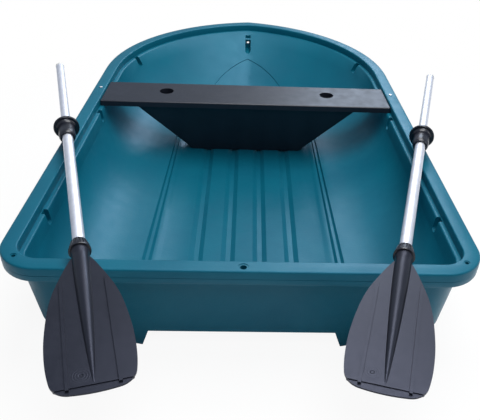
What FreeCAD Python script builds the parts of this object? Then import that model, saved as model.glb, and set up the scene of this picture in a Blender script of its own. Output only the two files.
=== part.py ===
import FreeCAD, Part
import math
import os

from FreeCAD import Placement, Rotation, Vector

# A small moulded rowing boat with one thwart, stored with its two oars in their rowlocks and the
# blades laid over the transom.
# All sizes are millimetres. The boat is drawn with Y running forward from the transom's outer edge,
# Z up from the rim's top and X to starboard. The last step moves the origin to the floor, under the
# middle of the whole thing.

# Plan of the rim's outer edge
HULL_LENGTH = 1856.0
STERN_HALF_BEAM = 583.0
STERN_CORNER_R = 102.0
SIDE_TAPER = 2.05
BOW_R = 645.0

# Rim: a flat flange with a deep lip around it
FLANGE_WIDTH = 41.0
RIM_EDGE_R = 5.0
FLANGE_INNER_R = 4.0
LIP_DEPTH = 43.0
BEAD_DEPTH = 24.0
BEAD_CUT = 2.0
LIP_LOWER_INSET = 1.0

# Outer skin below the lip
SKIN_INSET = 30.0
SKIN_DRAFT = 6.2
SKIN_CORNER_R = 80.0
RUNNER_CORNER_R = 32.0
CHINE_DEPTH = 245.0
BILGE_REACH = 14.0
HULL_DEPTH = 297.0
RUNNER_WIDTH = 32.0
TUNNEL_HALF = 258.0
TUNNEL_ROOF_HALF = 240.0
TUNNEL_ROOF_DEPTH = 243.5
BOW_SKIN_INSET = 30.0
BOW_RAKE = 0.12
FOREFOOT = 375.0
STEM_FULLNESS = 0.99

# Inside of the tub
SHELF_DEPTH = 26.0
SHELF_WIDTH = 14.0
SHELF_EDGE_R = 5.0
WALL_FOOT_DEPTH = 205.0
WALL_FOOT_HALF = 297.0
WALL_FOOT_TAPER = 1.8
WALL_FOOT_BOW_R = 330.0
STERN_WALL_RUN = 60.0
WELL_CORNER_R = 70.0
RAMP_SLOPE = 1.23
RAMP_LANDING = 0.03
RAMP_LANDING_RISE = 15.0
FLOOR_TAPER = 0.6
STEP_RUN = 9.0
STEP_RISE = 8.5
TREAD_FALL = 0.5
TOE_RUN = 17.0
TOE_RISE = 6.0
ARCH_HALF = 182.0
ARCH_R = 330.0
ARCH_APEX_Y = 1690.0
ARCH_RECESS = 4.0

# Floor grooves
GROOVE_COUNT = 4
GROOVE_PITCH = 94.0
GROOVE_TOP = 42.0
GROOVE_BOTTOM = 14.0
GROOVE_DEPTH = 9.0
GROOVE_AFT = 150.0
GROOVE_FORWARD = 1330.0

# Drain channels cut down through the shelf's edge, and the painter's slot and hole in the bow
CHANNEL_WIDTH = 24.0
CHANNEL_DEPTH = 66.0
CHANNEL_INSET = 43.0
CHANNEL_REACH = 28.0
CHANNEL_STATIONS = (274.0, 900.0, 1440.0)
PAINTER_SLOT_DEPTH = 100.0
PAINTER_SLOT_BACK = 72.0
PAINTER_SLOT_REACH = 80.0
PAINTER_BAR_R = 4.0
PAINTER_BAR_DEPTH = 52.0
PAINTER_BAR_FORWARD = 14.0
PAINTER_HOLE_R = 6.0
PAINTER_HOLE_DEPTH = 74.0

# Holes in the rim
TRANSOM_HOLE_R = 8.0
TRANSOM_HOLE_INSET = 18.0
TRANSOM_RECESS_R = 13.0
CORNER_HOLE_R = 5.0
CORNER_HOLE_INSET = 23.7
CORNER_HOLE_TURN = 43.3
CORNER_RECESS_R = 8.0
RECESS_DEPTH = 1.5
RIM_HOLE_DEPTH = 38.0

# Thwart: a plank across the shelf, moulded in one with a hollow leg
THWART_AFT = 946.0
THWART_WIDTH = 170.0
THWART_THICK = 20.0
THWART_END_GAP = 1.0
THWART_EDGE_R = 4.0
LEG_WALL = 5.0
LEG_TOP_HALF = 388.0
LEG_FOOT_HALF = 203.0
LEG_TOP_MARGIN = 6.0
LEG_FOOT_AFT = 1026.0
LEG_FOOT_WIDTH = 56.0
LEG_CORNER_R = 10.0
FINGER_HOLE_R = 25.0
FINGER_HOLE_X = 290.0
FINGER_HOLE_AFT = 97.0

# Rowlock: a pin that turns in the flange, with a cradle for the shaft
ROWLOCK_STATION = 605.0
ROWLOCK_INSET = 27.5
ROWLOCK_HEIGHT = 46.0
ROWLOCK_PIN_R = 6.25
PIN_CLEARANCE = 0.05
ROWLOCK_PIN_LENGTH = 36.0
ROWLOCK_FOOT_R = 12.0
ROWLOCK_FOOT_THICK = 4.0
ROWLOCK_STEM_R = 8.0
SEAT_GAP = 0.3
ROWLOCK_WIDTH = 20.0
ROWLOCK_WALL = 6.5
ROWLOCK_FLARE = 1.7

# Oar, measured along its shaft from the rowlock: the blade's way is positive
OAR_ANGLE = 15.67
OAR_INBOARD = 503.0
SHAFT_R = 15.0
HANDLE_R = 13.5
TUBE_WALL = 1.5
TUBE_FIT = 0.05
TUBE_OVERLAP = 60.0
CAP_R = 14.2
CAP_LENGTH = 16.0
CAP_PLUG = 20.0
COLLAR_GAP = 7.0
COLLAR_HOOD_GAP = 6.0
COLLAR_MOUTH = 46.0
COLLAR_MOUTH_R = 17.5
COLLAR_MOUTH_DEPTH = 4.0
COLLAR_ROOT_R = 30.0
COLLAR_BARREL_R = 24.5
COLLAR_LIP_R = 20.5
COLLAR_DISC_R = 38.0
COLLAR_DISC_THICK = 8.0
NUT_START = 565.0
NUT_LENGTH = 33.0
NUT_R = 26.0
NUT_AFT_R = 19.5
NUT_BAND = 6.0
NUT_RIB_COUNT = 18
NUT_RIB_HEIGHT = 1.5
NUT_RIB_WIDTH = 3.6
NUT_RIM_CLEARANCE = 2.0
SOCKET_R = 21.8
SOCKET_DOME = 22.0
SOCKET_DEPTH = 44.0
THROAT_R = 19.5
THROAT_LENGTH = 28.0
SPINE_TIP_R = 3.0
SPINE_LENGTH = 354.0
SPINE_FALL = 1.3
SPINE_FULLNESS = 0.75
SPINE_TAIL = 8.0
BLADE_LENGTH = 368.0
BLADE_HALF = 87.0
BLADE_THICK = 4.0
BLADE_ROOT_BACK = 4.0
BLADE_WIDEST_BACK = 115.0
BLADE_SIDE = ((0.0, 0.2), (0.1, 0.37), (0.25, 0.57), (0.4, 0.745), (0.65, 0.915), (0.82, 0.975), (1.0, 1.0))
BLADE_SHOULDER_SLOPE = 0.62
BLADE_TIP_SHARE = 0.93
BLADE_TIP_R = 40.0
BLADE_TIP_CROWN = 3.0
BLADE_TIP_TURN = 6.0
BLADE_RIB_OFFSET = 48.0
BLADE_RIB_WIDTH = 6.5
BLADE_RIB_HEIGHT = 5.0
BLADE_RIB_START = 42.0
BLADE_RIB_RISE = 22.0
BLADE_RIB_TIP = 11.0
CROSS_RIB_BACK = 20.0
CROSS_RIB_HEIGHT = 2.0

# Worked out from the sizes above
BEAM_STATION = STERN_CORNER_R
SHELF_INSET = FLANGE_WIDTH + SHELF_WIDTH
FLOOR_DEPTH = WALL_FOOT_DEPTH + TOE_RISE + 2 * STEP_RISE + 2 * TREAD_FALL
THWART_FORWARD = THWART_AFT + THWART_WIDTH
COLLAR_DISC = -ROWLOCK_WIDTH / 2 - COLLAR_GAP
COLLAR_BACK = COLLAR_DISC - COLLAR_DISC_THICK
COLLAR_STEP = COLLAR_DISC - COLLAR_DISC_THICK / 2
NUT_END = NUT_START + NUT_LENGTH
THROAT_START = NUT_END + SOCKET_DOME
SPINE_START = THROAT_START + THROAT_LENGTH
BLADE_TIP = SPINE_START + BLADE_LENGTH
OAR_DROP = ROWLOCK_HEIGHT - NUT_R - NUT_RIM_CLEARANCE
OAR_SLOPE = math.degrees(math.asin(OAR_DROP / NUT_END))


def lerp(start, end, share):
    """The value that lies the given share of the way from start to end."""
    return start + (end - start) * share


def bend(start, corner, end, share):
    """Value on the smooth bend from start to end that leans on a corner."""
    return lerp(lerp(start, corner, share), lerp(corner, end, share), share)


def round_over(radius, steps=3):
    """Depth and inset of points round a quarter circle that starts on a flat top face."""
    points = []
    for step in range(steps + 1):
        angle = math.radians(90 * step / steps)
        points.append((radius * (1 - math.cos(angle)), radius * (1 - math.sin(angle))))
    return points


def on_circle(centre, radius, angle):
    """The point of a flat circle at an angle in radians."""
    return centre + Vector(math.cos(angle), math.sin(angle), 0) * radius


class Plan:
    """Plan outline of the boat: straight transom, round corners, tapering sides and a pointed bow."""

    def __init__(self, half_beam, stern, apex, corner_r, bow_r, taper=SIDE_TAPER):
        tilt = math.radians(taper)
        self.tilt = tilt
        self.normal = Vector(math.cos(tilt), math.sin(tilt), 0)
        self.along = Vector(-math.sin(tilt), math.cos(tilt), 0)
        self.reach = self.normal.dot(Vector(half_beam, BEAM_STATION, 0))
        self.stern = stern
        self.apex = Vector(0, apex, 0)
        self.corner_r = corner_r
        self.bow_r = bow_r
        corner_y = stern + corner_r
        corner_x = (self.reach - corner_r - self.normal.y * corner_y) / self.normal.x
        self.corner = Vector(corner_x, corner_y, 0)
        foot = self.normal * (self.reach - bow_r)
        to_apex = self.apex - foot
        back = math.sqrt(bow_r ** 2 - to_apex.dot(self.normal) ** 2)
        self.bow_centre = foot + self.along * (to_apex.dot(self.along) - back)
        self.side_end = self.bow_centre + self.normal * bow_r

    def wire(self, depth):
        """The closed outline at a depth below the rim's top."""
        start = Vector(self.corner.x, self.stern, 0)
        corner_mid = on_circle(self.corner, self.corner_r, (self.tilt - math.pi / 2) / 2)
        corner_end = self.corner + self.normal * self.corner_r
        to_apex = self.apex - self.bow_centre
        bow_angle = math.atan2(to_apex.y, to_apex.x)
        bow_mid = on_circle(self.bow_centre, self.bow_r, (self.tilt + bow_angle) / 2)
        starboard = [start, corner_mid, corner_end, self.side_end, bow_mid]
        starboard = [Vector(point.x, point.y, -depth) for point in starboard]
        port = [Vector(-point.x, point.y, point.z) for point in starboard]
        tip = Vector(0, self.apex.y, -depth)
        curves = [
            Part.LineSegment(port[0], starboard[0]),
            Part.Arc(starboard[0], starboard[1], starboard[2]),
            Part.LineSegment(starboard[2], starboard[3]),
            Part.Arc(starboard[3], starboard[4], tip),
            Part.Arc(tip, port[4], port[3]),
            Part.LineSegment(port[3], port[2]),
            Part.Arc(port[2], port[1], port[0]),
        ]
        return Part.Wire([curve.toShape() for curve in curves])

    def side_point(self, station, inset):
        """Point of the starboard edge at a station, moved inboard by inset, and the way inboard."""
        if station <= self.side_end.y:
            edge_x = (self.reach - self.normal.y * station) / self.normal.x
            outward = self.normal
            point = Vector(edge_x, station, 0)
        else:
            angle = math.asin((station - self.bow_centre.y) / self.bow_r)
            outward = Vector(math.cos(angle), math.sin(angle), 0)
            point = self.bow_centre + outward * self.bow_r
        return point - outward * inset, outward * -1


def rim_plan(inset=0.0):
    """Plan of the rim's outer edge, drawn in by the same inset all round."""
    return Plan(
        STERN_HALF_BEAM - inset, inset, HULL_LENGTH - inset,
        STERN_CORNER_R - inset, BOW_R - inset,
    )


def loft(wires):
    """Solid with straight rulings from each outline to the next."""
    return Part.makeLoft(wires, True, True)


def rim_block():
    """Everything inside the rim's outer edge, as deep as the lip."""
    levels = round_over(RIM_EDGE_R)
    levels.append((BEAD_DEPTH - BEAD_CUT / 2, 0.0))
    levels.append((BEAD_DEPTH, BEAD_CUT))
    levels.append((BEAD_DEPTH + BEAD_CUT / 2, LIP_LOWER_INSET))
    levels.append((LIP_DEPTH - RIM_EDGE_R, LIP_LOWER_INSET))
    levels.append((LIP_DEPTH - RIM_EDGE_R / 3, LIP_LOWER_INSET + RIM_EDGE_R / 3))
    levels.append((LIP_DEPTH, LIP_LOWER_INSET + RIM_EDGE_R))
    return loft([rim_plan(inset).wire(depth) for depth, inset in levels])


def bow_skin_inset(depth):
    """How far the raked stem lies behind the rim's foremost point at a depth."""
    share = depth / HULL_DEPTH
    curve = 1 - math.sqrt(max(0.0, 1 - (share * STEM_FULLNESS) ** 2))
    return BOW_SKIN_INSET + BOW_RAKE * depth + FOREFOOT * curve


def skin_wire(depth, side_inset):
    """Outline of the outer skin at a depth."""
    stern_inset = SKIN_INSET + depth * math.tan(math.radians(SKIN_DRAFT))
    below_chine = max(0.0, depth - CHINE_DEPTH) / (HULL_DEPTH - CHINE_DEPTH)
    corner_r = lerp(SKIN_CORNER_R, RUNNER_CORNER_R, below_chine)
    plan = Plan(
        STERN_HALF_BEAM - side_inset, stern_inset, HULL_LENGTH - bow_skin_inset(depth),
        corner_r, BOW_R - side_inset,
    )
    return plan.wire(depth)


def skin_block():
    """Outer form under the rim: drafted sides, round bilges and a bottom that falls to two runners."""
    draft = math.tan(math.radians(SKIN_DRAFT))
    chine_inset = SKIN_INSET + CHINE_DEPTH * draft
    runner_inset = STERN_HALF_BEAM - TUNNEL_HALF - RUNNER_WIDTH
    fall = (HULL_DEPTH - CHINE_DEPTH) / (runner_inset - chine_inset)
    side_start = (CHINE_DEPTH - BILGE_REACH, chine_inset - BILGE_REACH * draft)
    side_end = (CHINE_DEPTH + BILGE_REACH * fall, chine_inset + BILGE_REACH)
    levels = [(depth, SKIN_INSET + depth * draft) for depth in (LIP_DEPTH / 2, CHINE_DEPTH / 2)]
    for share in (0.0, 0.25, 0.5, 0.75, 1.0):
        depth = bend(side_start[0], CHINE_DEPTH, side_end[0], share)
        inset = bend(side_start[1], chine_inset, side_end[1], share)
        levels.append((depth, inset))
    levels.append((lerp(side_end[0], HULL_DEPTH, 0.5), lerp(side_end[1], runner_inset, 0.5)))
    levels.append((HULL_DEPTH, runner_inset))
    return loft([skin_wire(depth, inset) for depth, inset in levels])


def tunnel_cutter():
    """The hollow between the two runners, open at the stern and at the bow."""
    taper = math.tan(math.radians(SIDE_TAPER))
    profiles = []
    for station in (-LIP_DEPTH, HULL_LENGTH):
        narrowing = taper * (station - BEAM_STATION)
        foot = TUNNEL_HALF - narrowing
        roof = TUNNEL_ROOF_HALF - narrowing
        spread = (TUNNEL_HALF - TUNNEL_ROOF_HALF) / (HULL_DEPTH - TUNNEL_ROOF_DEPTH)
        below = foot + spread * LIP_DEPTH
        floor = -HULL_DEPTH - LIP_DEPTH
        ceiling = -TUNNEL_ROOF_DEPTH
        corners = [(-below, floor), (below, floor), (roof, ceiling), (-roof, ceiling)]
        points = [Vector(x, station, z) for x, z in corners]
        profiles.append(Part.makePolygon(points + points[:1]))
    return loft(profiles)


def ramp_apex(depth):
    """Foremost point of the well at a depth: a ramp in the bow that lands softly on the floor."""
    landing = max(0.0, depth - WALL_FOOT_DEPTH + RAMP_LANDING_RISE)
    top = HULL_LENGTH - SHELF_INSET
    return top - RAMP_SLOPE * (depth - SHELF_DEPTH) - RAMP_LANDING * landing ** 2


def well_upper():
    """The cavity from above the rim down to the shelf."""
    levels = [(-FLANGE_WIDTH, FLANGE_WIDTH - FLANGE_INNER_R)]
    for depth, inset in round_over(FLANGE_INNER_R):
        levels.append((depth, FLANGE_WIDTH - inset))
    levels.append((SHELF_DEPTH, FLANGE_WIDTH))
    return loft([rim_plan(inset).wire(depth) for depth, inset in levels])


def well_lower():
    """The cavity from the shelf down to the floor: steep walls, wide bilges and two low steps."""
    wires = [rim_plan(SHELF_INSET - SHELF_EDGE_R).wire(SHELF_DEPTH / 2)]
    for drop, inset in round_over(SHELF_EDGE_R)[:-1]:
        wires.append(rim_plan(SHELF_INSET - inset).wire(SHELF_DEPTH + drop))
    top_half = STERN_HALF_BEAM - SHELF_INSET
    wall_top = SHELF_DEPTH + SHELF_EDGE_R
    for step in range(8):
        angle = math.radians(90 * step / 7)
        depth = wall_top + (WALL_FOOT_DEPTH - wall_top) * math.sin(angle)
        share = math.cos(angle)
        plan = Plan(
            lerp(WALL_FOOT_HALF, top_half, share),
            SHELF_INSET + STERN_WALL_RUN * (1 - share),
            ramp_apex(depth),
            lerp(WELL_CORNER_R, STERN_CORNER_R - SHELF_INSET, share),
            lerp(WALL_FOOT_BOW_R, BOW_R - SHELF_INSET, share),
            lerp(WALL_FOOT_TAPER, SIDE_TAPER, share),
        )
        wires.append(plan.wire(depth))
    treads = (
        (STEP_RUN, STEP_RISE), (STEP_RUN, TREAD_FALL), (STEP_RUN, STEP_RISE), (STEP_RUN, TREAD_FALL),
        (TOE_RUN, TOE_RISE),
    )
    inset = 0.0
    depth = WALL_FOOT_DEPTH
    for run, rise in treads:
        inset += run
        depth += rise
        share = (depth - WALL_FOOT_DEPTH) / (FLOOR_DEPTH - WALL_FOOT_DEPTH)
        plan = Plan(
            WALL_FOOT_HALF - inset, SHELF_INSET + STERN_WALL_RUN + inset, ramp_apex(depth),
            WELL_CORNER_R, WALL_FOOT_BOW_R - inset, lerp(WALL_FOOT_TAPER, FLOOR_TAPER, share),
        )
        wires.append(plan.wire(depth))
    return loft(wires)


def arch_prism():
    """Upright prism over the pointed arch that is pressed into the bow ramp."""
    centre = Vector(ARCH_HALF - ARCH_R, 0, 0)
    rise = math.sqrt(ARCH_R ** 2 - centre.x ** 2)
    spring = ARCH_APEX_Y - rise
    centre.y = spring
    mid = on_circle(centre, ARCH_R, math.atan2(rise, -centre.x) / 2)
    foot = Vector(ARCH_HALF, spring, 0)
    apex = Vector(0, ARCH_APEX_Y, 0)
    aft = Vector(ARCH_HALF, spring - ARCH_HALF, 0)
    edges = [
        Part.LineSegment(Vector(-aft.x, aft.y, 0), aft),
        Part.LineSegment(aft, foot),
        Part.Arc(foot, mid, apex),
        Part.Arc(apex, Vector(-mid.x, mid.y, 0), Vector(-foot.x, foot.y, 0)),
        Part.LineSegment(Vector(-foot.x, foot.y, 0), Vector(-aft.x, aft.y, 0)),
    ]
    face = Part.Face(Part.Wire([edge.toShape() for edge in edges]))
    return face.extrude(Vector(0, 0, -HULL_DEPTH))


def groove_cutter(centre_x):
    """One floor groove with sloping sides and ends."""
    slope = (GROOVE_TOP - GROOVE_BOTTOM) / 2
    profiles = []
    for lift, spare in ((0.0, slope), (GROOVE_DEPTH, 0.0), (2 * GROOVE_DEPTH, 0.0)):
        half = GROOVE_TOP / 2 - spare
        corners = [
            (centre_x - half, GROOVE_AFT + spare), (centre_x + half, GROOVE_AFT + spare),
            (centre_x + half, GROOVE_FORWARD - spare), (centre_x - half, GROOVE_FORWARD - spare),
        ]
        points = [Vector(x, y, lift - FLOOR_DEPTH - GROOVE_DEPTH) for x, y in corners]
        profiles.append(Part.makePolygon(points + points[:1]))
    return loft(profiles)


def slot_cutter(back, inboard, length, depth):
    """Upright slot with a round bottom, cut inboard from its back wall."""
    radius = CHANNEL_WIDTH / 2
    top = -SHELF_DEPTH / 2
    bottom = radius - depth
    across = Vector(0, 0, 1).cross(inboard) * radius
    base = Vector(back.x, back.y, 0)
    low = base + Vector(0, 0, bottom)
    high = base + Vector(0, 0, top)
    edges = [
        Part.LineSegment(high - across, low - across),
        Part.Arc(low - across, low - Vector(0, 0, radius), low + across),
        Part.LineSegment(low + across, high + across),
        Part.LineSegment(high + across, high - across),
    ]
    face = Part.Face(Part.Wire([edge.toShape() for edge in edges]))
    return face.extrude(inboard * length)


def rim_hole(x, y, hole_r, recess_r):
    """Blind hole in the rim's top with a shallow round recess about it."""
    hole = Part.makeCylinder(hole_r, RIM_HOLE_DEPTH + 1, Vector(x, y, -RIM_HOLE_DEPTH))
    recess = Part.makeCylinder(recess_r, RECESS_DEPTH + 1, Vector(x, y, -RECESS_DEPTH))
    return hole.fuse(recess)


def rowlock_place():
    """Where the starboard rowlock's pin crosses the rim's top."""
    point, _ = rim_plan().side_point(ROWLOCK_STATION, ROWLOCK_INSET)
    return point


def corner_hole_place():
    """Centre of the small hole in the starboard stern corner of the flange."""
    turn = math.radians(-CORNER_HOLE_TURN)
    return on_circle(rim_plan().corner, STERN_CORNER_R - CORNER_HOLE_INSET, turn)


def mirrored(shape):
    """The same shape on the port side."""
    return shape.mirror(Vector(0, 0, 0), Vector(1, 0, 0))


def make_hull():
    """The double-skinned moulding: rim, tub, runners and everything cut into them."""
    lower = well_lower()
    pressed = lower.copy()
    pressed.translate(Vector(0, ARCH_RECESS, 0))
    well = well_upper().fuse([lower, pressed.common(arch_prism())])
    hull = rim_block().fuse(skin_block())
    hull = hull.cut(tunnel_cutter())
    hull = hull.cut(well)
    cutters = []
    for index in range(GROOVE_COUNT):
        cutters.append(groove_cutter((index - (GROOVE_COUNT - 1) / 2) * GROOVE_PITCH))
    for station in CHANNEL_STATIONS:
        back, inboard = rim_plan().side_point(station, CHANNEL_INSET)
        channel = slot_cutter(back, inboard, CHANNEL_REACH, CHANNEL_DEPTH)
        cutters += [channel, mirrored(channel)]
    slot_back = Vector(0, HULL_LENGTH - PAINTER_SLOT_BACK, 0)
    slot = slot_cutter(slot_back, Vector(0, -1, 0), PAINTER_SLOT_REACH, PAINTER_SLOT_DEPTH)
    bar_start = Vector(-CHANNEL_WIDTH, slot_back.y - PAINTER_BAR_FORWARD, -PAINTER_BAR_DEPTH)
    bar = Part.makeCylinder(PAINTER_BAR_R, 2 * CHANNEL_WIDTH, bar_start, Vector(1, 0, 0))
    cutters.append(slot.cut(bar))
    hole_start = Vector(0, slot_back.y - PAINTER_BAR_FORWARD, -PAINTER_HOLE_DEPTH)
    hole_length = PAINTER_SLOT_BACK + PAINTER_BAR_FORWARD
    cutters.append(Part.makeCylinder(PAINTER_HOLE_R, hole_length, hole_start, Vector(0, 1, 0)))
    cutters.append(rim_hole(0, TRANSOM_HOLE_INSET, TRANSOM_HOLE_R, TRANSOM_RECESS_R))
    corner = corner_hole_place()
    corner_hole = rim_hole(corner.x, corner.y, CORNER_HOLE_R, CORNER_RECESS_R)
    pin_hole_r = ROWLOCK_PIN_R + PIN_CLEARANCE
    pin_start = rowlock_place() - Vector(0, 0, RIM_HOLE_DEPTH)
    pin_hole = Part.makeCylinder(pin_hole_r, RIM_HOLE_DEPTH + 1, pin_start)
    for hole in (corner_hole, pin_hole):
        cutters += [hole, mirrored(hole)]
    return hull.cut(cutters)


def rounded_rectangle(half_x, aft, forward, radius, depth):
    """Flat rectangle with round corners, level at a depth."""
    x = half_x - radius
    centres = ((-x, aft + radius), (x, aft + radius), (x, forward - radius), (-x, forward - radius))
    corners = []
    for index, (centre_x, centre_y) in enumerate(centres):
        centre = Vector(centre_x, centre_y, -depth)
        angles = [math.radians(180 + 90 * index + turn) for turn in (0, 45, 90)]
        corners.append([on_circle(centre, radius, angle) for angle in angles])
    edges = []
    for index, corner in enumerate(corners):
        following = corners[(index + 1) % len(corners)]
        edges.append(Part.Arc(*corner).toShape())
        edges.append(Part.LineSegment(corner[-1], following[0]).toShape())
    return Part.Wire(edges)


def leg_form(wall, top_depth, foot_depth):
    """The leg's tapering form, drawn in by a wall, between two depths."""
    wires = []
    for depth in (top_depth, foot_depth):
        share = (depth - SHELF_DEPTH) / (FLOOR_DEPTH - SHELF_DEPTH)
        half = lerp(LEG_TOP_HALF, LEG_FOOT_HALF, share) - wall
        aft = lerp(THWART_AFT + LEG_TOP_MARGIN, LEG_FOOT_AFT, share) + wall
        forward = lerp(THWART_FORWARD - LEG_TOP_MARGIN, LEG_FOOT_AFT + LEG_FOOT_WIDTH, share) - wall
        wires.append(rounded_rectangle(half, aft, forward, LEG_CORNER_R - wall / 2, depth))
    return loft(wires)


def make_thwart():
    """Plank with rounded edges and two finger holes, and its hollow leg."""
    ends = []
    for station in (THWART_AFT, THWART_FORWARD):
        end, _ = rim_plan().side_point(station, FLANGE_WIDTH + THWART_END_GAP)
        ends.append(end)
    low = -SHELF_DEPTH
    corners = [
        (-ends[0].x, THWART_AFT), (ends[0].x, THWART_AFT),
        (ends[1].x, THWART_FORWARD), (-ends[1].x, THWART_FORWARD),
    ]
    points = [Vector(x, y, low) for x, y in corners]
    plank = Part.Face(Part.makePolygon(points + points[:1])).extrude(Vector(0, 0, THWART_THICK))
    upper = [edge for edge in plank.Edges if edge.BoundBox.ZMax > low + THWART_THICK / 2]
    plank = plank.makeFillet(THWART_EDGE_R, upper)
    thwart = plank.fuse(leg_form(0.0, SHELF_DEPTH - LEG_WALL, FLOOR_DEPTH))
    thwart = thwart.cut(leg_form(LEG_WALL, SHELF_DEPTH, FLOOR_DEPTH - LEG_WALL))
    for side in (-1, 1):
        start = Vector(side * FINGER_HOLE_X, THWART_AFT + FINGER_HOLE_AFT, low - 1)
        thwart = thwart.cut(Part.makeCylinder(FINGER_HOLE_R, THWART_THICK + 2, start))
    return thwart


def turned(profile):
    """Solid of revolution about the shaft.

    The profile is (distance along, radius) corners in order. A list of them is one smooth curve.
    """
    runs = [run if isinstance(run, list) else [run] for run in profile]
    edges = []
    last = Vector(runs[-1][-1][0], 0, runs[-1][-1][1])
    for run in runs:
        points = [Vector(along, 0, radius) for along, radius in run]
        edges.append(Part.LineSegment(last, points[0]).toShape())
        if len(points) > 1:
            curve = Part.BSplineCurve()
            curve.interpolate(points)
            edges.append(curve.toShape())
        last = points[-1]
    face = Part.Face(Part.Wire(edges))
    return face.revolve(Vector(0, 0, 0), Vector(1, 0, 0), 360)


def make_rowlock():
    """The cradle with its stem, foot and pin, drawn about the point where it holds the shaft."""
    saddle_r = SHAFT_R + SEAT_GAP
    outer = saddle_r + ROWLOCK_WALL
    half = ROWLOCK_WIDTH / 2
    edges = [
        Part.Arc(Vector(-half, -outer, 0), Vector(-half, 0, -outer), Vector(-half, outer, 0)),
        Part.LineSegment(Vector(-half, outer, 0), Vector(-half, -outer, 0)),
    ]
    cradle = Part.Face(Part.Wire([edge.toShape() for edge in edges])).extrude(Vector(ROWLOCK_WIDTH, 0, 0))
    flared_r = saddle_r + ROWLOCK_FLARE
    cradle = cradle.cut(turned([(-half, 0), (-half, flared_r), (0, saddle_r), (half, flared_r), (half, 0)]))
    foot_low = -ROWLOCK_HEIGHT + SEAT_GAP
    stem = Part.makeCylinder(ROWLOCK_STEM_R, -saddle_r - ROWLOCK_WALL / 2 - foot_low, Vector(0, 0, foot_low))
    foot = Part.makeCylinder(ROWLOCK_FOOT_R, ROWLOCK_FOOT_THICK, Vector(0, 0, foot_low))
    pin_low = -ROWLOCK_HEIGHT - ROWLOCK_PIN_LENGTH
    pin = Part.makeCylinder(ROWLOCK_PIN_R, ROWLOCK_PIN_LENGTH + ROWLOCK_FOOT_THICK, Vector(0, 0, pin_low))
    return cradle.fuse([stem, foot, pin]).removeSplitter()


def make_shaft():
    """Lower tube, from inside the collar to inside the blade's socket."""
    start = COLLAR_STEP
    end = NUT_END + SOCKET_DEPTH
    inner = SHAFT_R - TUBE_WALL
    return turned([(start, inner), (start, SHAFT_R), (end, SHAFT_R), (end, inner)])


def make_handle():
    """Upper tube, from the end cap to inside the lower tube."""
    start = -OAR_INBOARD + CAP_LENGTH
    end = COLLAR_STEP + TUBE_OVERLAP
    outer = HANDLE_R - TUBE_FIT
    inner = outer - TUBE_WALL
    return turned([(start, inner), (start, outer), (end, outer), (end, inner)])


def make_end_cap():
    """Round plug in the handle's end."""
    tip = -OAR_INBOARD
    seat = tip + CAP_LENGTH
    plug_r = HANDLE_R - TUBE_FIT - TUBE_WALL - TUBE_FIT
    dome = []
    for step in range(5):
        angle = math.radians(90 * step / 4)
        dome.append((tip + CAP_R / 2 * (1 - math.cos(angle)), CAP_R * math.sin(angle)))
    return turned([dome, (seat, CAP_R), (seat, plug_r), (seat + CAP_PLUG, plug_r), (seat + CAP_PLUG, 0)])


def make_collar():
    """Stop collar: a round disc on the handle's side and a barrel, notched below over the rowlock."""
    bore = SHAFT_R + TUBE_FIT
    soft = COLLAR_DISC_THICK / 4
    notch_end = -COLLAR_DISC
    barrel = [
        (COLLAR_DISC, COLLAR_ROOT_R), (lerp(COLLAR_DISC, 0, 0.3), lerp(COLLAR_ROOT_R, COLLAR_BARREL_R, 0.75)),
        (0, COLLAR_BARREL_R), (lerp(0, COLLAR_MOUTH, 0.5), COLLAR_BARREL_R),
        (lerp(0, COLLAR_MOUTH, 0.85), lerp(COLLAR_LIP_R, COLLAR_BARREL_R, 0.7)), (COLLAR_MOUTH, COLLAR_LIP_R),
    ]
    inner = COLLAR_MOUTH - COLLAR_MOUTH_DEPTH
    collar = turned([
        (COLLAR_BACK, HANDLE_R), (COLLAR_BACK, COLLAR_DISC_R - soft), (COLLAR_BACK + soft, COLLAR_DISC_R),
        (COLLAR_DISC - soft, COLLAR_DISC_R), (COLLAR_DISC, COLLAR_DISC_R - soft),
        barrel, (COLLAR_MOUTH, COLLAR_MOUTH_R), (inner, COLLAR_MOUTH_R), (inner, bore),
        (COLLAR_STEP, bore), (COLLAR_STEP, HANDLE_R),
    ])
    width = 2 * COLLAR_ROOT_R
    notch = Part.makeBox(
        notch_end - COLLAR_DISC, width, width, Vector(COLLAR_DISC, -width / 2, COLLAR_HOOD_GAP - width),
    )
    return collar.cut(notch)


def make_nut():
    """Ring that clamps the blade's socket on the shaft: it flares to a plain band and has ribs for grip."""
    bore = SHAFT_R + TUBE_FIT
    band = NUT_END - NUT_BAND
    nut = turned([
        (NUT_START, bore), (NUT_START, NUT_AFT_R - NUT_RIB_HEIGHT), (band, NUT_R - NUT_RIB_HEIGHT),
        (band, NUT_R), (NUT_END, NUT_R), (NUT_END, bore),
    ])
    rib = Part.makeBox(
        NUT_LENGTH, NUT_RIB_WIDTH, NUT_R - bore - 1, Vector(NUT_START, -NUT_RIB_WIDTH / 2, bore + 1),
    )
    ribs = []
    for index in range(NUT_RIB_COUNT):
        copy = rib.copy()
        copy.rotate(Vector(0, 0, 0), Vector(1, 0, 0), 360 * index / NUT_RIB_COUNT)
        ribs.append(copy)
    envelope = turned([
        (NUT_START, 0), (NUT_START, NUT_AFT_R), (band, NUT_R), (NUT_END, NUT_R), (NUT_END, 0),
    ])
    return nut.fuse(ribs).common(envelope)


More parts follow.
